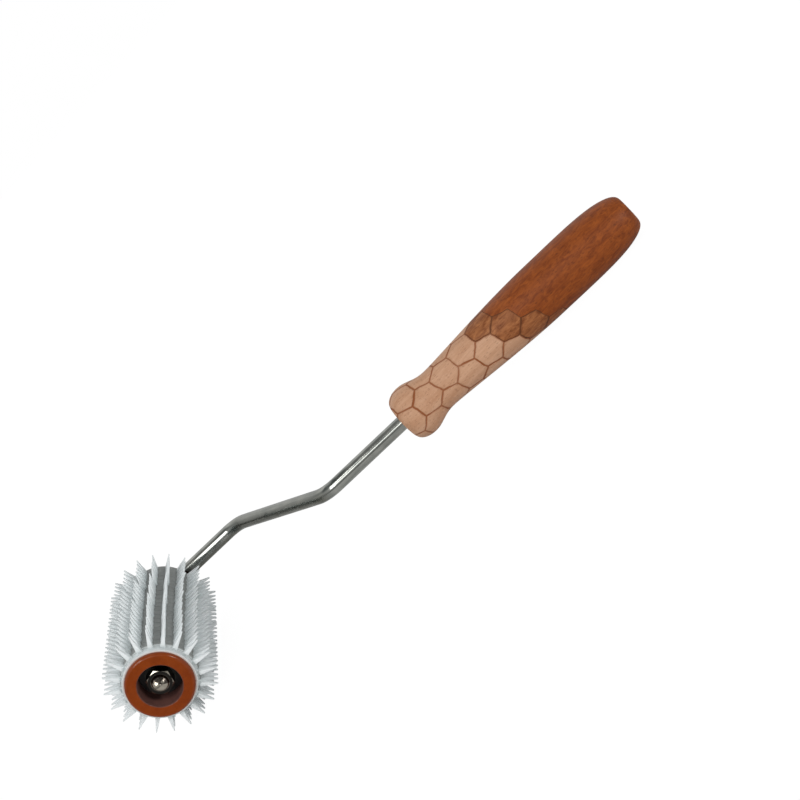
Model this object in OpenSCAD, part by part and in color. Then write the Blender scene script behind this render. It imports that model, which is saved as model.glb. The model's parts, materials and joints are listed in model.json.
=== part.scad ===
// Spiked hand roller for dough. A steel rod, bent in one plane, is the roller's axle at one end
// and carries a turned wooden handle at the other. The roller is a tube with spiked discs and
// spacer rings stacked on it, and it turns freely on two bearings inside the tube.
// The tool lies on a table: the spikes and the handle touch z = 0. +X runs towards the handle,
// +Y along the roller from its open end to the arm's corner. The origin is under the middle of
// the tool's box.

/* [Spiked discs] */
// Number of spiked discs on the tube
disc_count = 20; // [8:1:24]
// Spikes around each disc
spike_count = 20; // [12:1:24]
// Diameter over the spike tips
tip_d = 60; // [52:1:70]
// Distance from one disc to the next
disc_pitch = 5.1; // [4.75:0.05:6]
// Thickness of a disc
disc_t = 2; // [2:0.1:2.5]
// Wall of a disc's hub around the tube
hub_wall = 1.05; // [0.7:0.05:1.4]
// Width of a spike at its root
spike_w = 2.9; // [2:0.1:3.2]
// Length along the roller of a spike's foot, which stands on the spacers
spike_foot_l = 4; // [2.5:0.1:4.5]
// Width of a spike's blunt tip
spike_tip_w = 0.5; // [0.3:0.1:1]
// Length along the roller of a spike's blunt tip
spike_tip_l = 0.9; // [0.5:0.1:1.4]
// Turn of the first disc about the axle, in degrees
spike_phase = 4.4; // [0:0.1:18]
// Discs that were pushed on together, and so are turned nearly alike
group_size = 5; // [1:1:24]
// Turn of each group from the first, in degrees
group_turns = [0, 0.6, -0.2, -2]; // [-6:0.1:6]
// How far the discs of a group are turned from each other, at most, in degrees
turn_spread = 0.3; // [0:0.1:3]

/* [Spacers and end rings] */
// Wall of a spacer ring around the tube
spacer_wall = 2.25; // [1.7:0.05:3]
// Chamfer of a spacer's outer edges
spacer_chamfer = 0.3; // [0.1:0.05:0.4]
// Width of the ring that closes the stack at each end
end_ring_w = 3; // [1:0.1:4]

/* [Tube and bearings] */
// Outer diameter of the tube that carries the discs
tube_d = 36.8; // [34:0.2:40]
// Wall of the tube
tube_wall = 6.6; // [4:0.1:7]
// How far the tube's ends stand out of the stack
tube_proud = 2.5; // [2:0.1:5]
// Rounding of the tube's outer edges
tube_round = 1.8; // [0.5:0.1:2.2]
// Rounding of the tube's inner edges
tube_inner_round = 0.8; // [0.3:0.1:1.2]
// How deep the bearings sit in the tube's ends
bearing_depth = 14.15; // [14:0.05:20]
// Length of a bearing
bearing_l = 12; // [8:0.5:16]

/* [Arm] */
// Diameter of the steel rod
rod_d = 8; // [7:0.25:8.5]
// From the tube's end to the middle of the rod that crosses it
corner_gap = 7.1; // [7:0.1:14]
// How far the rod runs past the spike tips before its first bend
arm_out = 30; // [24:1:45]
// Length along X of the slanting stretch
slope_run = 64; // [50:1:80]
// From the handle's axis to the roller's middle
handle_offset = 11.95; // [0:0.05:20]
// Straight rod between the last bend's corner and the handle
shank_l = 57; // [45:1:80]
// Rod inside the handle
tang_l = 55; // [30:1:80]
// Bend radius at the axle's corner, to the middle of the rod
corner_bend_r = 11; // [9:0.5:14]
// Radius of the other two bends, to the middle of the rod
arm_bend_r = 18; // [12:1:30]
// How much the rod's radius shrinks in a bend
bend_thinning = 0.12; // [0.1:0.01:0.2]

/* [Nut, washers and stop collar] */
// Width of the cap nut across its flats
nut_af = 13; // [12:0.5:15]
// Height of the cap nut's hexagon
nut_hex_h = 8.1; // [6:0.1:9]
// Diameter of the sphere that the cap nut's dome is cut from
nut_dome_d = 13.2; // [12:0.1:15]
// How far the dome stands out of the hexagon
nut_dome_h = 2; // [1.6:0.1:4]
// How far the rod stops short of the hexagon's outer face
thread_end_gap = 0.2; // [0:0.1:2]
// Turn of the cap nut's flats about the axle, in degrees
nut_turn = -13; // [-30:1:30]
// Outer diameter of the washers
washer_d = 16; // [14:0.5:20]
// Thickness of the washers
washer_t = 1.6; // [1:0.1:2.5]
// Outer diameter of the stop collar
collar_d = 14; // [12:0.5:18]
// Length of the stop collar
collar_l = 6; // [4:0.5:8]

/* [Handle] */
// Length of the handle
handle_l = 160; // [140:1:185]
// Diameter of the knob at the front
knob_d = 30.4; // [28:0.2:36]
// From the front face to the knob's widest point
knob_at = 9; // [7:0.5:12]
// Diameter of the flat on the front face
front_face_d = 19; // [14:0.5:22]
// Diameter of the neck behind the knob
neck_d = 23.6; // [20:0.2:26]
// From the front face to the neck
neck_at = 25.5; // [22:0.5:32]
// Diameter of the grip's belly
belly_d = 31.4; // [28:0.2:38]
// From the front face to the belly
belly_at = 100; // [80:1:115]
// Diameter where the grip rounds over to its end
butt_d = 27; // [22:0.5:30]
// Length of the rounded end
butt_round_l = 9; // [6:0.5:12]
// Diameter of the flat on the end
butt_face_d = 14; // [10:0.5:18]

/* [Clearances] */
// Radial clearance between the axle and the bearings
running_fit = 0.06; // [0.02:0.01:0.1]
// Radial clearance of the pieces that are seated on each other
seat_fit = 0.05; // [0.02:0.01:0.1]
// Radial clearance between the rod and the washers
washer_fit = 0.2; // [0.1:0.05:0.3]
// Gap between each bearing and its washer
axial_play = 0.25; // [0.1:0.05:0.3]
// Gap beside the spikes and between the spacers
notch_fit = 0.1; // [0.05:0.05:0.2]

/* [Hidden] */
$fn = 96;
slack = 1;
fine = 8;
rod_lap = 0.8;
scatter_step = 137.5;

rod_r = rod_d / 2;
tip_r = tip_d / 2;
tube_r = tube_d / 2;
bore_r = tube_r - tube_wall;
on_tube_r = tube_r + seat_fit;
hub_r = on_tube_r + hub_wall;
spacer_r = on_tube_r + spacer_wall;
foot_r = spacer_r + seat_fit;
stem_l = disc_t - 2 * notch_fit;
spike_step = 360 / spike_count;
spacer_t = disc_pitch - disc_t;

// Places along the axle, from the tube's open end
first_disc_y = tube_proud + end_ring_w;
stack_end_y = first_disc_y + disc_count * disc_pitch - spacer_t;
tube_l = stack_end_y + end_ring_w + tube_proud;
near_bearing_y = bearing_depth;
far_bearing_y = tube_l - bearing_depth - bearing_l;
near_washer_y = near_bearing_y - axial_play - washer_t;
nut_face_y = near_washer_y - nut_hex_h;
far_washer_y = far_bearing_y + bearing_l + axial_play;
collar_y = far_washer_y + washer_t;

// The arm's corners, in the plane of the tool
corner_y = tube_l + corner_gap;
handle_y = tube_l / 2 - handle_offset;
bend_1_x = tip_r + arm_out;
bend_2_x = bend_1_x + slope_run;
handle_x = bend_2_x + shank_l;
axle_end_y = nut_face_y + thread_end_gap;
arm_points = [[0, axle_end_y], [0, corner_y], [bend_1_x, corner_y], [bend_2_x, handle_y],
              [handle_x + tang_l, handle_y]];
arm_bends = [0, corner_bend_r, arm_bend_r, arm_bend_r];

function two_digits(i) = i < 10 ? str("0", i) : str(i);
function disc_name(i) = str("star_disc_", two_digits(i));
function spacer_name(i) = str("spacer_", two_digits(i));

// Points after the first on a curve with four control points
function curve(a, b, c, d) = [for (k = [1:fine]) let (t = k / fine, s = 1 - t)
    a * s * s * s + b * 3 * s * s * t + c * 3 * s * t * t + d * t * t * t];

// The handle's outline, as distance from its front face and radius
knob_p = [knob_at, knob_d / 2];
neck_p = [neck_at, neck_d / 2];
belly_p = [belly_at, belly_d / 2];
butt_p = [handle_l - butt_round_l, butt_d / 2];
face_p = [0, front_face_d / 2];
end_p = [handle_l, butt_face_d / 2];
neck_l = neck_at - knob_at;
grip_l = belly_at - neck_at;
tail_l = butt_p.x - belly_at;

// Pulls of the outline's curves, as shares of the stretch that each one shapes
face_pull = [0, 0.56 * (knob_d - front_face_d) / 2];
knob_pulls = [[0.6 * knob_at, 0], [0.38 * neck_l, 0]];
neck_pulls = [[0.46 * neck_l, 0], [0.12 * grip_l, 0]];
belly_pulls = [[0.38 * grip_l, 0], [0.45 * tail_l, 0]];
butt_pulls = [[1.2, -0.3] * butt_round_l, [0.6, -0.15] * butt_round_l];
end_pull = [0, 0.25 * (butt_d - butt_face_d)];
handle_outline = concat(
    [face_p],
    curve(face_p, face_p + face_pull, knob_p - knob_pulls[0], knob_p),
    curve(knob_p, knob_p + knob_pulls[1], neck_p - neck_pulls[0], neck_p),
    curve(neck_p, neck_p + neck_pulls[1], belly_p - belly_pulls[0], belly_p),
    curve(belly_p, belly_p + belly_pulls[1], butt_p - butt_pulls[0], butt_p),
    curve(butt_p, butt_p + butt_pulls[1], end_p + end_pull, end_p));

// The tilt that brings the handle down to the table beside the spikes
tilt = min([for (p = handle_outline) let (q = p + [handle_x, 0])
    asin(tip_r / norm(q)) - atan2(q.y, q.x)]);

// Each disc's turn, and how far the spikes reach in one direction of the tilted tool
function disc_group(i) = min(floor((i - 1) / group_size), len(group_turns) - 1);
function disc_turn(i) =
    spike_phase + group_turns[disc_group(i)] + turn_spread * sin(scatter_step * (i - 1));
function off_spike(angle) = angle - spike_step * round(angle / spike_step);
function spike_reach(angle) =
    tip_r * max([for (i = [1:disc_count]) cos(off_spike(angle + tilt - disc_turn(i)))]);

low_z = -spike_reach(270);
low_x = -spike_reach(180);
high_x = max([for (p = handle_outline) (p.x + handle_x) * cos(tilt) + p.y * sin(tilt)]);
mid_x = (low_x + high_x) / 2;
mid_y = (corner_y + rod_r) / 2;

// Puts the tool, modelled about its axle, down on the table
module lie_down() {
    translate([-mid_x, -mid_y, -low_z])
        rotate([0, tilt, 0])
            children();
}

// Turns a shape made along Z so that it runs along the axle from y
module on_axle(y) {
    translate([0, y, 0])
        rotate([-90, 0, 0])
            children();
}

module ring(outer_r, inner_r, width) {
    difference() {
        cylinder(r = outer_r, h = width);
        translate([0, 0, -slack])
            cylinder(r = inner_r, h = width + 2 * slack);
    }
}

// A spike along X. Its stem rises from the disc's hub through a notch of the spacer, and its long
// foot stands on the spacers' outside.
module spike() {
    root_x = on_tube_r + hub_wall / 2;
    translate([0, 0, disc_t / 2])
        intersection() {
            linear_extrude(height = spike_foot_l + slack, center = true)
                polygon([[root_x, -spike_w / 2], [tip_r, -spike_tip_w / 2],
                         [tip_r, spike_tip_w / 2], [root_x, spike_w / 2]]);
            rotate([90, 0, 0])
                linear_extrude(height = spike_w + slack, center = true)
                    polygon([[root_x, -stem_l / 2], [foot_r, -stem_l / 2],
                             [foot_r, -spike_foot_l / 2], [tip_r, -spike_tip_l / 2],
                             [tip_r, spike_tip_l / 2], [foot_r, spike_foot_l / 2],
                             [foot_r, stem_l / 2], [root_x, stem_l / 2]]);
        }
}

// The hub's seam lies midway between two spikes
module star() {
    rotate([0, 0, -spike_step / 2])
        ring(hub_r, on_tube_r, disc_t);
    for (k = [0:spike_count - 1])
        rotate([0, 0, k * spike_step])
            spike();
}

module star_disc(i) {
    color("whitesmoke")
        lie_down()
            on_axle(first_disc_y + (i - 1) * disc_pitch)
                rotate([0, 0, -disc_turn(i)])
                    star();
}

// A spacer runs from one disc over the hub of the next, whose stems stand in its notches
module notched_ring() {
    outer_l = disc_pitch - notch_fit;
    notch_w = spike_w + 2 * notch_fit;
    difference() {
        rotate([0, 0, -spike_step / 2])
            rotate_extrude()
                polygon([[on_tube_r, 0], [spacer_r - spacer_chamfer, 0],
                         [spacer_r, spacer_chamfer], [spacer_r, outer_l - spacer_chamfer],
                         [spacer_r - spacer_chamfer, outer_l], [on_tube_r, outer_l]]);
        translate([0, 0, spacer_t - seat_fit])
            rotate([0, 0, -spike_step / 2])
                cylinder(r = hub_r + seat_fit, h = disc_t + slack);
        for (k = [0:spike_count - 1])
            rotate([0, 0, k * spike_step])
                translate([hub_r - hub_wall / 2, -notch_w / 2, spacer_t - seat_fit])
                    cube([2 * spacer_wall, notch_w, disc_t + slack]);
    }
}

module spacer(i) {
    color("gray")
        lie_down()
            on_axle(first_disc_y + (i - 1) * disc_pitch + disc_t)
                rotate([0, 0, -disc_turn(i + 1)])
                    notched_ring();
}

module near_end_ring() {
    color("whitesmoke")
        lie_down()
            on_axle(tube_proud)
                ring(hub_r, on_tube_r, end_ring_w);
}

module far_end_ring() {
    color("gray")
        lie_down()
            on_axle(stack_end_y)
                ring(spacer_r, on_tube_r, end_ring_w);
}

// A tube whose inner and outer edges are rounded
module core_tube() {
    color("saddlebrown")
        lie_down()
            on_axle(0)
                rotate_extrude()
                    union() {
                        translate([bore_r, tube_inner_round])
                            square([tube_wall / 2, tube_l - 2 * tube_inner_round]);
                        translate([tube_r - tube_wall / 2, tube_round])
                            square([tube_wall / 2, tube_l - 2 * tube_round]);
                        translate([bore_r + tube_inner_round, 0])
                            square([tube_wall - tube_inner_round - tube_round, tube_l]);
                        for (y = [tube_inner_round, tube_l - tube_inner_round])
                            translate([bore_r + tube_inner_round, y])
                                circle(r = tube_inner_round);
                        for (y = [tube_round, tube_l - tube_round])
                            translate([tube_r - tube_round, y])
                                circle(r = tube_round);
                    }
}

// A plug pressed into the tube, bored to run on the axle
module bearing(y) {
    color("black")
        lie_down()
            on_axle(y)
                ring(bore_r - seat_fit, rod_r + running_fit, bearing_l);
}

module near_bearing() {
    bearing(near_bearing_y);
}

module far_bearing() {
    bearing(far_bearing_y);
}

module washer(y) {
    color("silver")
        lie_down()
            on_axle(y)
                ring(washer_d / 2, rod_r + washer_fit, washer_t);
}

module near_washer() {
    washer(near_washer_y);
}

module far_washer() {
    washer(far_washer_y);
}

// A collar fixed on the axle, which keeps the roller off the arm's corner
module stop_collar() {
    color("dimgray")
        lie_down()
            on_axle(collar_y)
                ring(collar_d / 2, rod_r + seat_fit, collar_l);
}

// A low cap nut: chamfered hexagon, dome and a blind hole for the axle's end
module cap_nut() {
    corner_r = nut_af / 2 / cos(30);
    chamfer = corner_r - nut_af / 2;
    dome_r = nut_dome_d / 2;
    color("silver")
        lie_down()
            on_axle(nut_face_y)
                rotate([0, 0, nut_turn])
                    difference() {
                        union() {
                            intersection() {
                                cylinder(r = corner_r, h = nut_hex_h, $fn = 6);
                                rotate_extrude()
                                    polygon([[0, 0], [nut_af / 2, 0], [corner_r, chamfer / 2],
                                             [corner_r, nut_hex_h - chamfer / 2],
                                             [nut_af / 2, nut_hex_h], [0, nut_hex_h]]);
                            }
                            intersection() {
                                translate([0, 0, dome_r - nut_dome_h])
                                    sphere(r = dome_r);
                                translate([0, 0, -nut_dome_h])
                                    cylinder(r = nut_af / 2 - seat_fit, h = nut_dome_h + slack);
                            }
                        }
                        cylinder(r = rod_r + seat_fit, h = nut_hex_h + slack);
                    }
}

// The way from one corner of the rod to the next
function heading(i) = atan2(arm_points[i + 1].y - arm_points[i].y,
                            arm_points[i + 1].x - arm_points[i].x);
function direction(i) = [cos(heading(i)), sin(heading(i))];
function turn_at(i) = heading(i) - heading(i - 1);
function tangent_l(i) = i < 1 || i >= len(arm_bends) ? 0 : arm_bends[i] * tan(abs(turn_at(i)) / 2);

// A straight stretch, which laps a little way into the bends at its ends
module rod_stretch(i) {
    lap_back = tangent_l(i) > 0 ? rod_lap : 0;
    lap_on = tangent_l(i + 1) > 0 ? rod_lap : 0;
    start = arm_points[i] + direction(i) * (tangent_l(i) - lap_back);
    stretch_l = norm(arm_points[i + 1] - arm_points[i]) - tangent_l(i) - tangent_l(i + 1);
    translate([start.x, start.y, 0])
        rotate([0, 90, heading(i)])
            cylinder(r = rod_r, h = stretch_l + lap_back + lap_on);
}

module rod_bend(i) {
    side = sign(turn_at(i));
    start = arm_points[i] - direction(i - 1) * tangent_l(i);
    centre = start + arm_bends[i] * side * [-direction(i - 1).y, direction(i - 1).x];
    from = heading(i - 1) - 90 * side + min(turn_at(i), 0);
    translate([centre.x, centre.y, 0])
        rotate([0, 0, from])
            rotate_extrude(angle = abs(turn_at(i)))
                translate([arm_bends[i], 0])
                    circle(r = rod_r - bend_thinning);
}

// One rod, bent three times in one plane
module arm() {
    color("lightslategray")
        lie_down()
            union() {
                for (i = [0:len(arm_points) - 2])
                    rod_stretch(i);
                for (i = [1:len(arm_bends) - 1])
                    rod_bend(i);
            }
}

// Turned handle with a knob at its front and a blind hole for the rod
module handle() {
    color("burlywood")
        lie_down()
            translate([handle_x, handle_y, 0])
                rotate([0, 90, 0])
                    difference() {
                        rotate_extrude()
                            polygon(concat([[0, 0]], [for (p = handle_outline) [p.y, p.x]],
                                           [[0, handle_l]]));
                        translate([0, 0, -slack])
                            cylinder(r = rod_r + seat_fit, h = tang_l + 2 * slack);
                    }
}

handle();
arm();
cap_nut();
near_washer();
far_washer();
stop_collar();
core_tube();
near_bearing();
far_bearing();
near_end_ring();
far_end_ring();
for (i = [1:disc_count])
    star_disc(i);
for (i = [1:disc_count - 1])
    spacer(i);
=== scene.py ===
import json
import math

import bmesh
import bpy
from mathutils import Matrix, Vector

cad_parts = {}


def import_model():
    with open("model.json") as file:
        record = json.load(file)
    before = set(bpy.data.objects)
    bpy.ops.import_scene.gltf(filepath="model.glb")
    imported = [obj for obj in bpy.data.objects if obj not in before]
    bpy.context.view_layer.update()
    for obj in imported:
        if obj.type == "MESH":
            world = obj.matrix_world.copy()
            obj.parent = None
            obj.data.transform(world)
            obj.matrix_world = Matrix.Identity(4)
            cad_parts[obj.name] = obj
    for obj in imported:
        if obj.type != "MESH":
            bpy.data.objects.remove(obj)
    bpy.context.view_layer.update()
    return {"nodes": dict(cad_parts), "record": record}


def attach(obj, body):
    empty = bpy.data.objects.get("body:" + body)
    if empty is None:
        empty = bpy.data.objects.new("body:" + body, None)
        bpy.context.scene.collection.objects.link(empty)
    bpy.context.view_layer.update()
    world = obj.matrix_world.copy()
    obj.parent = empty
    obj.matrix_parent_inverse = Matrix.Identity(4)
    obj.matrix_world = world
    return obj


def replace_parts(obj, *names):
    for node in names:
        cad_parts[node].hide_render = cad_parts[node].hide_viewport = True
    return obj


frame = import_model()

MM = 0.001

# The tool's own frame is in mm: Y runs along the roller's axle from the tube's open end, and X runs
# to the handle. lie_down puts it on the table as the solids lie, in metres: the axle's place and
# height there, the tool's middle along Y, and the tilt that brings the handle down.
AXLE_X, AXLE_Z = -0.15548, 0.03
MIDDLE_Y = 0.0605
TILT = math.radians(2.6445)
lie_down = (Matrix.Translation((AXLE_X, -MIDDLE_Y, AXLE_Z)) @ Matrix.Rotation(TILT, 4, "Y")
            @ Matrix.Scale(MM, 4))

ROD_R = 4
ARM_POINTS = [(0, 4.4), (0, 117), (60, 117), (124, 43), (236, 43)]
ARM_BENDS = [0, 11, 18, 18, 0]

# The handle's front face is at this place. KNOB, NECK, BELLY and BUTT are each a distance from it
# and the radius there.
HANDLE_X, HANDLE_Y = 181, 43
HANDLE_L = 160
HOLE_L = 56
HOLE_R = 4.05
HOLE_CHAMFER = 0.4
FRONT_FACE_R = 9.5
KNOB = (9, 15.2)
NECK = (25.5, 11.8)
BELLY = (100, 15.7)
BUTT = (151, 13.5)
END_FACE_R = 7
# The flat ends of the handle's mesh, in the hole's bottom and in the end face, have this radius
CLOSING_R = 0.8


# Meshes

def new_object(name, bm, body, material):
    mesh = bpy.data.meshes.new(name)
    bm.to_mesh(mesh)
    bm.free()
    mesh.shade_smooth()
    mesh.materials.append(material)
    piece = bpy.data.objects.new(name, mesh)
    bpy.context.scene.collection.objects.link(piece)
    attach(piece, body)
    return piece


def skin(rings, corner_uvs):
    """A closed mesh through rings of equally many points, with a UV for each face corner."""
    bm = bmesh.new()
    uv_layer = bm.loops.layers.uv.new("wrap")
    rows = [[bm.verts.new(lie_down @ Vector(p)) for p in ring] for ring in rings]
    around = len(rings[0])
    for i in range(len(rows) - 1):
        for k in range(around):
            n = (k + 1) % around
            face = bm.faces.new((rows[i][k], rows[i][n], rows[i + 1][n], rows[i + 1][k]))
            corners = ((i, k), (i, k + 1), (i + 1, k + 1), (i + 1, k))
            for loop, (ring, step) in zip(face.loops, corners):
                loop[uv_layer].uv = corner_uvs(ring, step)
    for i in (0, len(rows) - 1):
        face = bm.faces.new(rows[i])
        for step, loop in enumerate(face.loops):
            loop[uv_layer].uv = corner_uvs(i, step)
    bmesh.ops.recalc_face_normals(bm, faces=bm.faces)
    return bm


def curve(a, b, c, d, count):
    """Points after the first on a curve with four control points."""
    points = []
    for k in range(1, count + 1):
        t = k / count
        s = 1 - t
        weights = (s ** 3, 3 * s * s * t, 3 * s * t * t, t ** 3)
        points.append(tuple(sum(w * p[i] for w, p in zip(weights, (a, b, c, d))) for i in (0, 1)))
    return points


def handle_outline():
    """The turned outline, with the same curves as the solid's."""
    neck_l = NECK[0] - KNOB[0]
    grip_l = BELLY[0] - NECK[0]
    tail_l = BUTT[0] - BELLY[0]
    butt_l = HANDLE_L - BUTT[0]
    face = (0, FRONT_FACE_R)
    end = (HANDLE_L, END_FACE_R)
    return ([face]
            + curve(face, (0, FRONT_FACE_R + 0.56 * (KNOB[1] - FRONT_FACE_R)),
                    (0.4 * KNOB[0], KNOB[1]), KNOB, 24)
            + curve(KNOB, (KNOB[0] + 0.38 * neck_l, KNOB[1]),
                    (NECK[0] - 0.46 * neck_l, NECK[1]), NECK, 36)
            + curve(NECK, (NECK[0] + 0.12 * grip_l, NECK[1]),
                    (BELLY[0] - 0.38 * grip_l, BELLY[1]), BELLY, 150)
            + curve(BELLY, (BELLY[0] + 0.45 * tail_l, BELLY[1]),
                    (BUTT[0] - 1.2 * butt_l, BUTT[1] + 0.3 * butt_l), BUTT, 100)
            + curve(BUTT, (BUTT[0] + 0.6 * butt_l, BUTT[1] - 0.15 * butt_l),
                    (HANDLE_L, END_FACE_R + 0.5 * (BUTT[1] - END_FACE_R)), end, 30))


# The honeycomb burned into the handle, with cells this wide in mm. Its rows close after one turn
# round the handle: the wrap is 7 rows up and one and a half cells along.
CELL = 15.28
ROWS_ROUND = 7
CELLS_ALONG = 1.5
ROW_STEP = math.sqrt(3) / 2
PATTERN_TURN = math.atan2(CELLS_ALONG, ROWS_ROUND * ROW_STEP)
PATTERN_ROUND = CELL * math.hypot(CELLS_ALONG, ROWS_ROUND * ROW_STEP)
# Where a cell's centre lies: how far behind the front face, and which way it faces from the top
PATTERN_X = 18.95
PATTERN_FACES = math.radians(-71.9)
# Within this radius, on the end faces and in the hole, the pattern keeps its size
PATTERN_LEAST_R = 7
HANDLE_STEPS = 192


def wrap_uv(x, r, angle):
    """Distance along and round the handle in cells. The true arc length in front eases into the
    pattern's own length at the back, so that the rows meet."""
    even_r = PATTERN_ROUND / math.tau
    arc = r * angle + (even_r - r) * angle ** 3 / math.pi ** 2
    return (x - PATTERN_X) / CELL, arc / CELL


def make_handle(material):
    """From the hole's bottom out over the front face, along the outline and in over the end face. Rings
    between the edges keep the smooth shading flat on the faces."""
    profile = ([(HOLE_L, CLOSING_R), (HOLE_L, HOLE_R), (2, HOLE_R), (HOLE_CHAMFER, HOLE_R),
                (0.25 * HOLE_CHAMFER, HOLE_R + 0.25 * HOLE_CHAMFER), (0, HOLE_R + HOLE_CHAMFER),
                (0, HOLE_R + 2 * HOLE_CHAMFER), (0, 7), (0, 9)]
               + handle_outline()
               + [(HANDLE_L, END_FACE_R - 0.4), (HANDLE_L, END_FACE_R / 2), (HANDLE_L, CLOSING_R)])
    angles = [-math.pi + math.tau * k / HANDLE_STEPS for k in range(HANDLE_STEPS + 1)]
    rings = [[(HANDLE_X + x, HANDLE_Y + r * math.sin(a + PATTERN_FACES), r * math.cos(a + PATTERN_FACES))
              for a in angles[:-1]] for x, r in profile]

    def corner_uvs(ring, step):
        x, r = profile[ring]
        return wrap_uv(x, max(r, PATTERN_LEAST_R), angles[step])

    bm = skin(rings, corner_uvs)
    piece = new_object("handle_turned", bm, "root", material)
    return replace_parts(piece, "handle")


# The rod's mesh: the points round it, about how far its rings are apart, in mm on the straight and
# in degrees in a bend, and the chamfer at its ends
ROD_STEPS = 64
RING_STEP = 3
BEND_STEP = 2
ROD_END_CHAMFER = 0.5


def way(heading):
    return Vector((math.cos(heading), math.sin(heading)))


def arm_path():
    """Points and headings along the rod's centre line, bends included."""
    path = []
    last = len(ARM_POINTS) - 1
    points = [Vector(p) for p in ARM_POINTS]
    start = points[0]
    for i in range(1, last + 1):
        ahead = (points[i] - points[i - 1]).normalized()
        heading = math.atan2(ahead.y, ahead.x)
        if i == last:
            turn, cut = 0, 0
        else:
            after = points[i + 1] - points[i]
            turn = math.atan2(after.y, after.x) - heading
            cut = ARM_BENDS[i] * math.tan(abs(turn) / 2)
        stop = points[i] - ahead * cut
        steps = max(2, round((stop - start).length / RING_STEP))
        path += [(start.lerp(stop, k / steps), heading) for k in range(steps + 1)]
        if turn:
            side = math.copysign(1, turn)
            centre = stop + ARM_BENDS[i] * side * Vector((-ahead.y, ahead.x))
            steps = round(math.degrees(abs(turn)) / BEND_STEP)
            for k in range(1, steps):
                now = heading + turn * k / steps
                out = side * Vector((math.sin(now), -math.cos(now)))
                path.append((centre + ARM_BENDS[i] * out, now))
            start = points[i] + after.normalized() * cut
    return path


def make_arm(material):
    path = arm_path()
    (first, first_heading), (last, last_heading) = path[0], path[-1]
    path.insert(1, (first + way(first_heading) * ROD_END_CHAMFER, first_heading))
    path.insert(-1, (last - way(last_heading) * ROD_END_CHAMFER, last_heading))
    end_r = ROD_R - ROD_END_CHAMFER
    radii = [end_r, *[ROD_R] * (len(path) - 2), end_r]
    along = [0.0]
    for (a, _), (b, _) in zip(path, path[1:]):
        along.append(along[-1] + (b - a).length)
    rings = []
    for (p, heading), r in zip(path, radii):
        ring = []
        for k in range(ROD_STEPS):
            a = math.tau * k / ROD_STEPS
            out = r * math.cos(a)
            ring.append((p.x - math.sin(heading) * out, p.y + math.cos(heading) * out, r * math.sin(a)))
        rings.append(ring)
    arc = ROD_R * MM * math.tau / ROD_STEPS
    bm = skin(rings, lambda ring, step: (along[ring] * MM, arc * step))
    piece = new_object("arm_rod", bm, "root", material)
    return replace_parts(piece, "arm")


# Materials

class Nodes:
    """A node tree, with short names for the nodes that the finishes and the room share."""

    def __init__(self, tree):
        self.tree = tree

    def node(self, kind, inputs=(), **settings):
        made = self.tree.nodes.new(kind)
        for key, value in settings.items():
            setattr(made, key, value)
        for key, value in dict(inputs).items():
            self.feed(made.inputs[key], value)
        return made

    def feed(self, socket, value):
        if isinstance(value, bpy.types.NodeSocket):
            self.tree.links.new(value, socket)
        else:
            socket.default_value = value

    def math(self, operation, *values, clamp=False):
        made = self.node("ShaderNodeMath", enumerate(values), operation=operation, use_clamp=clamp)
        return made.outputs[0]

    def vector(self, operation, *values):
        made = self.node("ShaderNodeVectorMath", enumerate(values), operation=operation)
        return made.outputs["Value" if operation in ("DOT_PRODUCT", "LENGTH") else "Vector"]

    def parts(self, vector):
        return self.node("ShaderNodeSeparateXYZ", {0: vector}).outputs

    def joined(self, x, y):
        return self.node("ShaderNodeCombineXYZ", {0: x, 1: y}).outputs[0]

    def noise(self, place, scale, detail=2.0, roughness=0.5, distortion=0.0, output="Fac"):
        made = self.node("ShaderNodeTexNoise", {"Vector": place, "Scale": scale, "Detail": detail,
                                                "Roughness": roughness, "Distortion": distortion})
        return made.outputs[output]

    def stretch(self, place, x, y, z):
        return self.vector("MULTIPLY", place, (x, y, z))

    def level(self, value, low, high, to_low=0.0, to_high=1.0, smooth=False):
        kind = "SMOOTHSTEP" if smooth else "LINEAR"
        return self.node("ShaderNodeMapRange", {"Value": value, "From Min": low, "From Max": high,
                                                "To Min": to_low, "To Max": to_high},
                         interpolation_type=kind).outputs["Result"]

    def mix(self, share, a, b):
        return self.node("ShaderNodeMix", {0: share, 6: a, 7: b}, data_type="RGBA").outputs[2]

    def mix_vectors(self, share, a, b):
        return self.node("ShaderNodeMix", {0: share, 4: a, 5: b}, data_type="VECTOR").outputs[1]


class Finish(Nodes):
    """A material around one shader."""

    def __init__(self, name, **shader):
        self.material = bpy.data.materials.new(name)
        self.material.use_nodes = True
        super().__init__(self.material.node_tree)
        self.shader = self.tree.nodes["Principled BSDF"]
        for socket, value in shader.items():
            self.shader.inputs[socket.replace("_", " ")].default_value = value
        self.place = self.node("ShaderNodeTexCoord").outputs["Object"]

    def wrap(self):
        """The place on a handle or rod, as distance along it and round it."""
        return self.node("ShaderNodeUVMap", uv_map="wrap").outputs["UV"]

    def facing(self):
        return self.node("ShaderNodeNewGeometry").outputs["Normal"]

    def from_axle(self):
        """Distance from the roller's axle, in metres."""
        x, _, z = self.parts(self.place)
        x = self.math("SUBTRACT", x, AXLE_X)
        z = self.math("SUBTRACT", z, AXLE_Z)
        return self.vector("LENGTH", self.joined(x, z))

    def bump(self, height, distance, normal=None):
        made = self.node("ShaderNodeBump", {"Height": height, "Distance": distance, "Strength": 1.0})
        if normal is not None:
            self.feed(made.inputs["Normal"], normal)
        return made.outputs["Normal"]

    def wear(self, color, roughness, normal=None):
        self.feed(self.shader.inputs["Base Color"], color)
        self.feed(self.shader.inputs["Roughness"], roughness)
        if normal is not None:
            self.feed(self.shader.inputs["Normal"], normal)
        return self.material


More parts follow.
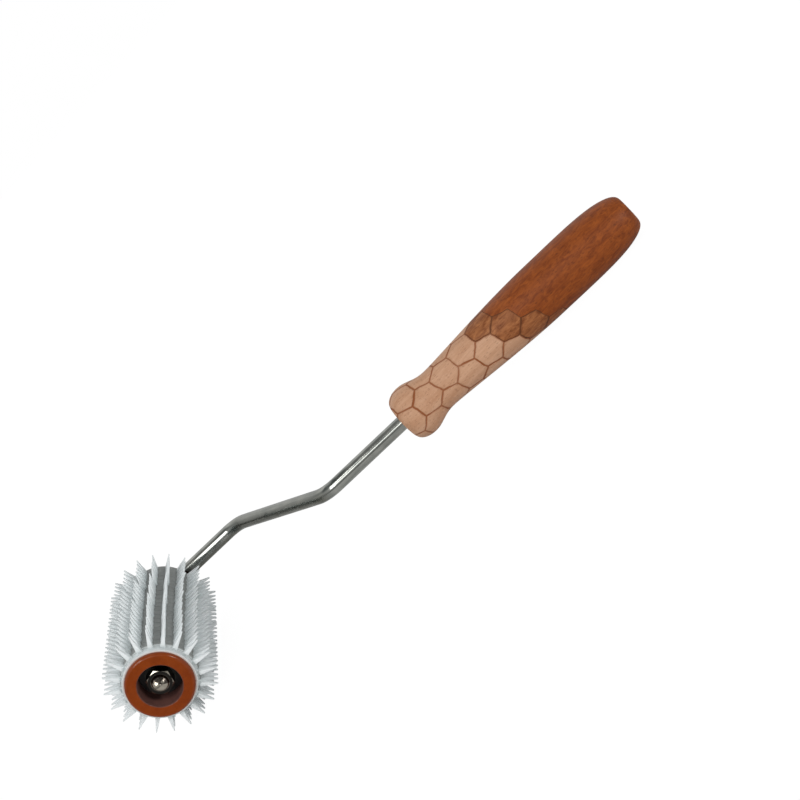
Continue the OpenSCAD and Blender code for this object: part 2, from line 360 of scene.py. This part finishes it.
def rgb(red, green, blue):
    """An sRGB colour as it reads in the photograph, 0 to 255, as the linear colour of a socket."""
    def linear(value):
        value /= 255
        return value / 12.92 if value <= 0.04045 else ((value + 0.055) / 1.055) ** 2.4
    return (linear(red), linear(green), linear(blue), 1.0)


# Half the width of a burned line, in cells
BURN_WIDE = 0.034
# Cells are stained where their centre lies behind a slanting line round the handle: how far back that
# line is, how far it swings to each side, and where round the handle. All distances are in mm.
STAIN_FROM = 70
STAIN_SLANT = 14
STAIN_PHASE = math.radians(10)
# Behind that line, where the burned net ends and where the varnish is as deep as it gets
NET_BEHIND_STAIN = 13
DEEP_BEHIND_STAIN = 26


def honeycomb(f, spot):
    """How far a place is from its cell's edge, and the cell's centre along and round the handle, all
    in cells."""
    c, s = math.cos(PATTERN_TURN), math.sin(PATTERN_TURN)
    tall = math.sqrt(3)
    turned = f.joined(f.vector("DOT_PRODUCT", spot, (c, s, 0.0)),
                      f.vector("DOT_PRODUCT", spot, (-s, c, 0.0)))

    def from_lattice(shift):
        moved = f.vector("ADD", turned, shift)
        part = f.vector("FRACTION", f.vector("MULTIPLY", moved, (1.0, 1 / tall, 0.0)))
        return f.vector("MULTIPLY", f.vector("SUBTRACT", part, (0.5, 0.5, 0.0)), (1.0, tall, 0.0))

    near_a = from_lattice((0.5, tall / 2, 0.0))
    near_b = from_lattice((0.0, 0.0, 0.0))
    a_is_near = f.math("LESS_THAN", f.vector("LENGTH", near_a), f.vector("LENGTH", near_b))
    from_centre = f.mix_vectors(a_is_near, near_b, near_a)
    x, y, _ = f.parts(f.vector("ABSOLUTE", from_centre))
    reach = f.math("MAXIMUM", x, f.math("ADD", f.math("MULTIPLY", x, 0.5), f.math("MULTIPLY", y, ROW_STEP)))
    centre = f.vector("SUBTRACT", turned, from_centre)
    return (f.math("SUBTRACT", 0.5, reach),
            f.vector("DOT_PRODUCT", centre, (c, -s, 0.0)),
            f.vector("DOT_PRODUCT", centre, (s, c, 0.0)))


def flecks(f, scale, share, shift):
    """Short marks along the grain, in a share of the cells that divide the wood."""
    place = f.vector("ADD", f.stretch(f.place, 1.0, 4.0, 4.0), (shift, 0.0, 0.0))
    cells = f.node("ShaderNodeTexVoronoi", {"Vector": place, "Scale": scale}, feature="F1").outputs
    chosen = f.level(f.parts(cells["Color"])[0], 1.0 - share, 1.0 - share + 0.08)
    return f.math("MULTIPLY", f.level(cells["Distance"], 0.45, 0.2), chosen)


def light_beech(f, fibre, dark_fleck):
    tone = f.noise(f.stretch(f.place, 1.0, 9.0, 9.0), 22.0, 3.0, 0.55, 0.6)
    bright_fleck = flecks(f, 520.0, 0.3, 0.37)
    wood = f.mix(f.level(tone, 0.3, 0.7), rgb(188, 141, 108), rgb(210, 167, 136))
    wood = f.mix(f.level(fibre, 0.35, 0.75, 0.0, 0.38), wood, rgb(170, 120, 88))
    wood = f.mix(f.math("MULTIPLY", bright_fleck, 0.25), wood, rgb(224, 186, 160))
    return f.mix(f.math("MULTIPLY", dark_fleck, 0.42), wood, rgb(126, 82, 56))


def stained_beech(f, fibre, dark_fleck, behind):
    """Varnish that soaked in unevenly, and deeper towards the handle's end."""
    blotch = f.noise(f.stretch(f.place, 1.0, 3.0, 3.0), 150.0, 4.0, 0.65, 0.8)
    soaked = f.level(behind, 0.0, DEEP_BEHIND_STAIN, smooth=True)
    light = f.mix(soaked, rgb(176, 116, 72), rgb(156, 80, 28))
    dark = f.mix(soaked, rgb(120, 66, 32), rgb(118, 54, 16))
    wood = f.mix(f.level(blotch, 0.35, 0.65), light, dark)
    wood = f.mix(f.level(fibre, 0.35, 0.75, 0.0, 0.3), wood, rgb(116, 58, 20))
    return f.mix(f.math("MULTIPLY", dark_fleck, 0.5), wood, rgb(84, 40, 14))


def handle_wood():
    """Beech with a burned honeycomb, stained in its hinder cells and behind them."""
    f = Finish("handle_wood", Specular_IOR_Level=0.22)
    wobble = f.vector("SUBTRACT", f.noise(f.place, 110.0, 2.0, output="Color"), (0.5, 0.5, 0.5))
    spot = f.vector("ADD", f.wrap(), f.vector("MULTIPLY", wobble, (0.14, 0.14, 0.0)))
    from_edge, centre_x, centre_turn = honeycomb(f, spot)

    # How far behind the stain's line a cell's centre lies
    turn = f.math("ADD", f.math("MULTIPLY", centre_turn, math.tau * CELL / PATTERN_ROUND), STAIN_PHASE)
    swing = f.math("MULTIPLY", f.math("SINE", turn), STAIN_SLANT)
    limit = f.math("SUBTRACT", STAIN_FROM - PATTERN_X, swing)
    behind = f.math("SUBTRACT", f.math("MULTIPLY", centre_x, CELL), limit)
    stained = f.math("GREATER_THAN", behind, 0.0)
    netted = f.level(behind, NET_BEHIND_STAIN, NET_BEHIND_STAIN + 1.0, 1.0, 0.0)

    # Burned lines, darker and wider in places, with singed wood beside them
    heat = f.noise(f.place, 90.0, 3.0, 0.6)
    wide = f.level(heat, 0.3, 0.7, 0.8 * BURN_WIDE, 1.3 * BURN_WIDE)
    line = f.math("SUBTRACT", 1.0, f.math("DIVIDE", from_edge, wide), clamp=True)
    line = f.math("MULTIPLY", f.level(line, 0.0, 0.5, smooth=True), netted)
    burn = f.math("MULTIPLY", line, f.level(heat, 0.3, 0.65, 0.65, 1.0))
    singe = f.level(from_edge, 2.4 * BURN_WIDE, 0.6 * BURN_WIDE, 0.0, 0.22, smooth=True)
    singe = f.math("MULTIPLY", singe, netted)

    fibre = f.noise(f.stretch(f.place, 1.0, 12.0, 12.0), 150.0, 4.0, 0.65)
    dark_fleck = flecks(f, 430.0, 0.38, 0.0)
    color = f.mix(stained, light_beech(f, fibre, dark_fleck), stained_beech(f, fibre, dark_fleck, behind))
    scorch = f.mix(stained, rgb(140, 78, 40), rgb(88, 46, 20))
    color = f.mix(singe, color, scorch)
    color = f.mix(f.math("MULTIPLY", burn, 0.95), color, scorch)

    rough = f.math("ADD", f.level(fibre, 0.3, 0.7, 0.42, 0.56), f.math("MULTIPLY", burn, 0.15))
    height = f.math("SUBTRACT", f.math("MULTIPLY", fibre, 0.12), f.math("MULTIPLY", dark_fleck, 0.1))
    height = f.math("SUBTRACT", height, line)
    return f.wear(color, rough, f.bump(height, 0.0002))


# Dark patches on the rod, at and beside its bends: each one's place in the tool's own frame, and its reach
ROD_DARK_PATCHES = [((59, 110.5, 0.5), (6.5, 4.5, 3.2)),
              ((83, 84.8, 1.7), (3, 2.5, 1.5)),
              ((132, 41, 3.6), (14, 1.8, 1.6))]
# Where the stretches with painted shade underneath fade in and out along X, in metres
MIDDLE_SHADED_UNDER = [(-0.100, -0.092), (-0.028, -0.036)]
FIRST_SHADED_UNDER = (-0.092, -0.100)


def rod_steel():
    f = Finish("rod_steel", Metallic=1.0)
    wrap = f.wrap()
    streak = f.noise(f.stretch(wrap, 45.0, 700.0, 1.0), 1.0, 1.0, 0.5, 0.4)
    ripple = f.noise(f.stretch(wrap, 70.0, 150.0, 1.0), 1.0, 0.0)
    cloud = f.noise(f.place, 160.0, 1.0, 0.5)
    color = f.mix(f.level(cloud, 0.35, 0.7), rgb(146, 148, 143), rgb(166, 167, 161))
    color = f.mix(f.level(streak, 0.45, 0.75, 0.0, 0.5), color, rgb(104, 110, 108))
    marks = None
    for place, reach in ROD_DARK_PATCHES:
        away = f.vector("SUBTRACT", f.place, tuple(lie_down @ Vector(place)))
        away = f.vector("LENGTH", f.vector("DIVIDE", away, tuple(MM * r for r in reach)))
        mark = f.level(away, 1.15, 0.5, smooth=True)
        marks = mark if marks is None else f.math("MAXIMUM", marks, mark)
    marks = f.math("MULTIPLY", marks, f.level(cloud, 0.35, 0.6, 0.35, 1.0))
    color = f.mix(f.math("MULTIPLY", marks, 0.8), color, rgb(46, 56, 55))

    # Painted shade: the stretches beside the roller are darker underneath, and duller there too
    x, _, _ = f.parts(f.place)
    _, _, facing_up = f.parts(f.facing())
    fade_in, fade_out = MIDDLE_SHADED_UNDER
    middle = f.math("MULTIPLY", f.level(x, *fade_in, smooth=True), f.level(x, *fade_out, smooth=True))
    middle = f.math("MULTIPLY", middle, f.level(facing_up, 0.7, 0.1, 0.35, 1.0, smooth=True))
    underneath = f.level(facing_up, -0.1, -0.6, smooth=True)
    first = f.math("MULTIPLY", f.level(x, *FIRST_SHADED_UNDER, smooth=True), underneath)
    dull_with_painted_shade = f.math("MULTIPLY", f.math("MAXIMUM", middle, first), f.level(cloud, 0.3, 0.6, 0.7, 1.0))
    # Painted shade underneath the stretches beside the roller
    color = f.mix(f.math("MULTIPLY", dull_with_painted_shade, 0.8), color, rgb(92, 92, 82))
    rough = f.math("ADD", f.level(streak, 0.3, 0.7, 0.07, 0.11), f.level(cloud, 0.4, 0.8, 0.0, 0.06))
    rough = f.math("ADD", rough, f.math("MULTIPLY", dull_with_painted_shade, 0.2))
    rough = f.math("ADD", rough, f.math("MULTIPLY", marks, 0.2))
    return f.wear(color, rough, f.bump(ripple, 0.00002))


# The dome's edge on the hexagon's face, in mm, and between which values the chamfers face the front
NUT_DOME_R = 4.85
NUT_CHAMFER_FACING = [(0.5, 0.6), (0.96, 0.93)]
# The dome leans: the way up it, across the axle, and how much its surface turns that way
NUT_UP = Vector((0.746, 0.0, 0.666))
NUT_LEAN = 0.36
# Its painted dark reflection, in mm from the axle: where up the dome it begins, and two round places, as X
# and Z, that are left out of it so that the lamps' highlights show there
NUT_DARK_REFLECTION = (-0.1, 0.3)
NUT_HIGHLIGHT_GAPS = [(-1.1, 1.6), (1.8, -0.1)]
HIGHLIGHT_GAP_R = 1.0


def nut_steel():
    """Bright chamfers, painted shade on the hexagon's other faces, and a painted dark reflection on the
    dome's top, left out where the lamps' highlights fall.
    """
    f = Finish("nut_steel", Metallic=1.0)
    cloud = f.noise(f.place, 500.0, 3.0, 0.6)
    outside = f.level(f.from_axle(), NUT_DOME_R * MM, (NUT_DOME_R + 0.1) * MM)
    normal = f.facing()
    facing_front = f.math("MULTIPLY", f.parts(normal)[1], -1.0)
    past_sides, before_face = NUT_CHAMFER_FACING
    chamfer = f.math("MULTIPLY", f.level(facing_front, *past_sides), f.level(facing_front, *before_face))
    # Painted shade on the hexagon's faces, all but the chamfers
    dark = f.math("MULTIPLY", outside, f.math("SUBTRACT", 1.0, chamfer))
    color = f.mix(f.level(cloud, 0.3, 0.7), rgb(164, 157, 144), rgb(184, 177, 164))
    from_axle = f.vector("SUBTRACT", f.place, (AXLE_X, 0.0, AXLE_Z))
    up_dome = f.vector("DOT_PRODUCT", from_axle, tuple(NUT_UP))
    speckle = f.level(f.noise(f.place, 2500.0, 2.0), 0.35, 0.65, 0.75, 1.0)
    # Painted dark reflection on the dome's top half, with gaps where the lamps' highlights fall
    dark_reflection = f.level(up_dome, NUT_DARK_REFLECTION[0] * MM, NUT_DARK_REFLECTION[1] * MM, smooth=True)
    dark_reflection = f.math("MULTIPLY", dark_reflection, f.math("SUBTRACT", 1.0, outside))
    for x, z in NUT_HIGHLIGHT_GAPS:
        away = f.vector("SUBTRACT", from_axle, (x * MM, 0.0, z * MM))
        away = f.vector("LENGTH", f.vector("MULTIPLY", away, (1.0, 0.0, 1.0)))
        dark_reflection = f.math("MULTIPLY", dark_reflection, f.level(away, 0.7 * HIGHLIGHT_GAP_R * MM, HIGHLIGHT_GAP_R * MM))
    color = f.mix(f.math("MULTIPLY", dark_reflection, speckle), color, rgb(38, 30, 28))
    color = f.mix(f.math("MULTIPLY", dark, 0.97), color, rgb(26, 24, 24))
    lean = f.vector("MULTIPLY", tuple(NUT_UP * NUT_LEAN), f.math("SUBTRACT", 1.0, outside))
    leaning = f.vector("NORMALIZE", f.vector("ADD", normal, lean))
    return f.wear(color, f.level(cloud, 0.3, 0.7, 0.12, 0.17), f.bump(cloud, 0.000005, leaning))


def plain_steel(name, shade, rough):
    f = Finish(name, Metallic=1.0)
    turned = f.noise(f.joined(f.math("MULTIPLY", f.from_axle(), 6000.0), 0.0), 1.0, 2.0)
    cloud = f.noise(f.place, 300.0, 3.0, 0.6)
    bright = shade + 18
    color = f.mix(f.level(cloud, 0.3, 0.7), rgb(shade, shade, shade - 4), rgb(bright, bright, bright - 4))
    return f.wear(color, f.level(turned, 0.3, 0.7, rough, rough + 0.14), f.bump(turned, 0.00001))


# Distances from the axle, in metres, over which the tube's bore goes dull and its rim turns glossy,
# and the stretch of Y over which its end beside the arm gets painted shade
BORE_DULL = (0.0125, 0.0118)
RIM_GLOSS = (0.0166, 0.0174)
FAR_END_SHADE = (0.045, 0.046)


def tube_brown():
    """Brown plastic with a glossy rim, dull and darker inside the bore, with painted shade at the end
    beside the arm.
    """
    f = Finish("tube_brown", Specular_IOR_Level=0.1, Coat_Roughness=0.04)
    from_axle = f.from_axle()
    f.feed(f.shader.inputs["Coat Weight"], f.level(from_axle, *RIM_GLOSS, 0.06, 0.4))
    cloud = f.noise(f.place, 160.0, 3.0, 0.6)
    patches = f.level(cloud, 0.35, 0.7)
    speck = f.noise(f.place, 1400.0, 2.0, 0.5)
    color = f.mix(patches, rgb(136, 58, 8), rgb(122, 48, 2))
    color = f.mix(f.level(speck, 0.6, 0.75, 0.0, 0.3), color, rgb(150, 76, 28))
    inside = f.level(from_axle, *BORE_DULL, smooth=True)
    color = f.mix(inside, color, f.mix(patches, rgb(112, 76, 68), rgb(92, 64, 60)))
    # Painted shade on the tube's end beside the arm
    far_end_shade = f.level(f.parts(f.place)[1], *FAR_END_SHADE)
    color = f.mix(f.math("MULTIPLY", far_end_shade, 0.9), color, rgb(38, 28, 24))
    rough = f.math("ADD", f.level(cloud, 0.3, 0.7, 0.26, 0.36), f.math("MULTIPLY", inside, 0.3))
    return f.wear(color, rough, f.bump(speck, 0.00001))


def bearing_black():
    f = Finish("bearing_black")
    grain = f.noise(f.place, 900.0, 3.0, 0.6)
    color = f.mix(f.level(grain, 0.3, 0.7), (0.012, 0.012, 0.012, 1.0), (0.03, 0.028, 0.027, 1.0))
    return f.wear(color, f.level(grain, 0.3, 0.7, 0.45, 0.6), f.bump(grain, 0.00002))


# Distances from the axle, in metres, over which a spike's root gets painted shade, and then a painted warm
# glow of light from the brown tube
SPIKE_ROOT_SHADE = (0.0235, 0.0205)
SPIKE_TUBE_GLOW = (0.0193, 0.0186)


def spike_white():
    f = Finish("spike_white", Specular_IOR_Level=0.3, Subsurface_Weight=0.3, Subsurface_Scale=0.003,
               Subsurface_Radius=(1.0, 1.0, 1.0))
    cloud = f.noise(f.place, 80.0, 3.0, 0.6)
    grain = f.noise(f.place, 1500.0, 2.0, 0.5)
    color = f.mix(f.level(cloud, 0.3, 0.7), rgb(228, 235, 236), rgb(240, 245, 246))
    from_axle = f.from_axle()
    # Painted shade towards the spikes' roots
    color = f.mix(f.level(from_axle, *SPIKE_ROOT_SHADE, 0.0, 0.35, smooth=True), color, rgb(196, 203, 202))
    # Painted warm glow of light scattered from the brown tube
    color = f.mix(f.level(from_axle, *SPIKE_TUBE_GLOW, 0.0, 0.6, smooth=True), color, rgb(222, 196, 182))
    rough = f.math("ADD", f.level(cloud, 0.3, 0.7, 0.34, 0.46), f.level(grain, 0.4, 0.8, 0.0, 0.1))
    return f.wear(color, rough, f.bump(grain, 0.00001))


def spacer_grey():
    """Grey plastic, with painted light on the faces towards the tube's open end."""
    f = Finish("spacer_grey", Specular_IOR_Level=0.4)
    _, y, _ = f.parts(f.place)
    turned = f.noise(f.joined(f.math("MULTIPLY", y, 2600.0), 0.0), 1.0, 2.0)
    cloud = f.noise(f.place, 140.0, 3.0, 0.6)
    color = f.mix(f.level(cloud, 0.3, 0.7), rgb(138, 141, 139), rgb(152, 155, 153))
    _, facing_arm, _ = f.parts(f.facing())
    # Painted light: the faces towards the tube's open end are pale
    color = f.mix(f.level(facing_arm, -0.9, -0.95), color, rgb(206, 210, 209))
    return f.wear(color, f.level(turned, 0.3, 0.7, 0.45, 0.6), f.bump(turned, 0.00003))


finishes = {
    "handle_wood": handle_wood(),
    "rod_steel": rod_steel(),
    "nut_steel": nut_steel(),
    # Painted shade: the washers' steel is dark, as they sit deep in the tube's bore
    "washer_steel": plain_steel("washer_steel", 58, 0.35),
    "collar_steel": plain_steel("collar_steel", 120, 0.3),
    "tube_brown": tube_brown(),
    "bearing_black": bearing_black(),
    "spike_white": spike_white(),
    "spacer_grey": spacer_grey(),
}

for part in frame["record"]["subparts"]:
    node = frame["nodes"][part["node"]]
    for slot in node.material_slots:
        slot.material = finishes[part["material_slot"]]

make_handle(finishes["handle_wood"])
make_arm(finishes["rod_steel"])


# Studio: a white floor and backdrop, soft lamps in front and a dim room

# The camera's place in metres, the ways that the picture's right and top point, and the lens in mm
CAMERA_PLACE = (0.15857, -0.83823, 0.28360)
CAMERA_RIGHT = Vector((0.68835, -0.11448, -0.71629))
CAMERA_UP = Vector((0.71069, 0.30415, 0.63436))
CAMERA_LENS = 74.724


def camera():
    data = bpy.data.cameras.new("camera")
    data.lens = CAMERA_LENS
    data.sensor_width = 36
    data.clip_start, data.clip_end = 0.05, 50
    cam = bpy.data.objects.new("camera", data)
    back = CAMERA_RIGHT.cross(CAMERA_UP)
    turn = Matrix((CAMERA_RIGHT, CAMERA_UP, back)).transposed().to_4x4()
    cam.matrix_world = Matrix.Translation(CAMERA_PLACE) @ turn
    bpy.context.scene.collection.objects.link(cam)
    bpy.context.scene.camera = cam


# What the lamps aim at
TOOL_MIDDLE = Vector((-0.02, -0.02, 0.03))
ARM_CORNER = Vector((-0.12, 0.056, 0.03))


def soft_light(name, towards, distance, size, watts, aim):
    data = bpy.data.lights.new(name, "AREA")
    data.shape = "RECTANGLE"
    data.size, data.size_y = size
    data.energy = watts
    lamp = bpy.data.objects.new(name, data)
    towards = Vector(towards).normalized()
    turn = towards.to_track_quat("Z", "Y").to_matrix().to_4x4()
    lamp.matrix_world = Matrix.Translation(aim + towards * distance) @ turn
    bpy.context.scene.collection.objects.link(lamp)


FLOOR_HALF = 6.0
# The strength and share of white that the camera sees, and the share that metal reflects
FLOOR_WHITE = 1.08
FLOOR_WHITE_SHARE = 0.9
FLOOR_GLOSSY_SHARE = 0.2
# The paper's tones under the tool, the dimmer tone in front, and where one gives way to the other
# along Y, in metres
FLOOR_TONES = (0.66, 0.70)
FLOOR_FRONT_TONE = 0.38
FLOOR_FADE = (-0.35, -0.1)


def grey(tone):
    return (tone, tone, tone, 1.0)


def floor():
    bm = bmesh.new()
    bmesh.ops.create_grid(bm, x_segments=8, y_segments=8, size=FLOOR_HALF)
    mesh = bpy.data.meshes.new("floor")
    bm.to_mesh(mesh)
    bm.free()
    f = Finish("floor_paper")
    grain = f.noise(f.place, 300.0, 2.0)
    near = f.level(f.parts(f.place)[1], *FLOOR_FADE, smooth=True)
    paper = f.mix(grain, *(grey(tone) for tone in FLOOR_TONES))
    f.wear(f.mix(near, grey(FLOOR_FRONT_TONE), paper), 0.7)
    path = f.node("ShaderNodeLightPath").outputs
    white = f.node("ShaderNodeEmission", {"Color": grey(1.0), "Strength": FLOOR_WHITE}).outputs[0]
    seen = f.math("MAXIMUM", path["Is Camera Ray"], path["Is Transmission Ray"])
    share = f.math("MULTIPLY", seen, FLOOR_WHITE_SHARE)
    glossy = f.math("MULTIPLY", f.math("MULTIPLY", path["Is Glossy Ray"], near), FLOOR_GLOSSY_SHARE)
    share = f.math("ADD", share, glossy, clamp=True)
    both = f.node("ShaderNodeMixShader", {0: share, 1: f.shader.outputs[0], 2: white}).outputs[0]
    f.feed(f.tree.nodes["Material Output"].inputs["Surface"], both)
    mesh.materials.append(f.material)
    plane = bpy.data.objects.new("floor", mesh)
    bpy.context.scene.collection.objects.link(plane)


# The room's brightness by the height of a direction, on each side of the tool
ROOM_FRONT = [(0.0, 0.12), (0.12, 0.20), (0.25, 0.62), (0.6, 0.62), (0.88, 0.38), (1.0, 0.25)]
ROOM_BACK = [(0.0, 0.50), (0.2, 0.65), (0.5, 0.85), (0.88, 0.90), (0.96, 0.36), (1.0, 0.25)]
ROOM_LEFT = [(0.0, 0.26), (0.5, 0.60), (0.8, 0.55), (1.0, 0.25)]
ROOM_RIGHT = [(0.0, 0.34), (0.3, 0.32), (0.7, 0.20), (1.0, 0.25)]
# Where one side gives way to the next: the component of the direction, and its range
ROOM_SIDES = [("Y", -0.15, 0.25, ROOM_BACK), ("X", -0.55, -0.75, ROOM_LEFT), ("X", 0.4, 0.65, ROOM_RIGHT)]
# How much of the white backdrop the metal reflects
ROOM_GLOSSY_SHARE = 0.1


def world():
    made = bpy.data.worlds.new("studio")
    made.use_nodes = True
    made.node_tree.nodes.clear()
    bpy.context.scene.world = made
    w = Nodes(made.node_tree)
    direction = w.parts(w.node("ShaderNodeTexCoord").outputs["Generated"])

    def by_height(stops):
        ramp = w.node("ShaderNodeValToRGB", {0: direction["Z"]})
        marks = ramp.color_ramp.elements
        while len(marks) < len(stops):
            marks.new(0.5)
        for mark, (height, tone) in zip(marks, stops):
            mark.position = height
            mark.color = grey(tone)
        return ramp.outputs["Color"]

    shade = by_height(ROOM_FRONT)
    for component, from_low, from_high, stops in ROOM_SIDES:
        shade = w.mix(w.level(direction[component], from_low, from_high), shade, by_height(stops))

    path = w.node("ShaderNodeLightPath").outputs
    seen = w.math("MAXIMUM", path["Is Camera Ray"], path["Is Transmission Ray"])
    white_share = w.math("MAXIMUM", seen, w.math("MULTIPLY", path["Is Glossy Ray"], ROOM_GLOSSY_SHARE))
    room = w.node("ShaderNodeBackground", {"Color": shade}).outputs[0]
    backdrop = w.node("ShaderNodeBackground", {"Color": grey(1.0)}).outputs[0]
    both = w.node("ShaderNodeMixShader", {0: white_share, 1: room, 2: backdrop}).outputs[0]
    w.node("ShaderNodeOutputWorld", {"Surface": both})


camera()
floor()
world()
soft_light("strip", (-0.10, -0.83, 0.49), distance=1.2, size=(0.5, 0.2), watts=1.2, aim=TOOL_MIDDLE)
soft_light("key", (-0.24, -0.74, 0.66), distance=1.2, size=(0.35, 0.75), watts=4.1, aim=ARM_CORNER)
soft_light("low", (0.78, -0.6, 0.14), distance=1.3, size=(0.4, 0.3), watts=4.2, aim=TOOL_MIDDLE)

bpy.context.scene.view_settings.view_transform = "Standard"
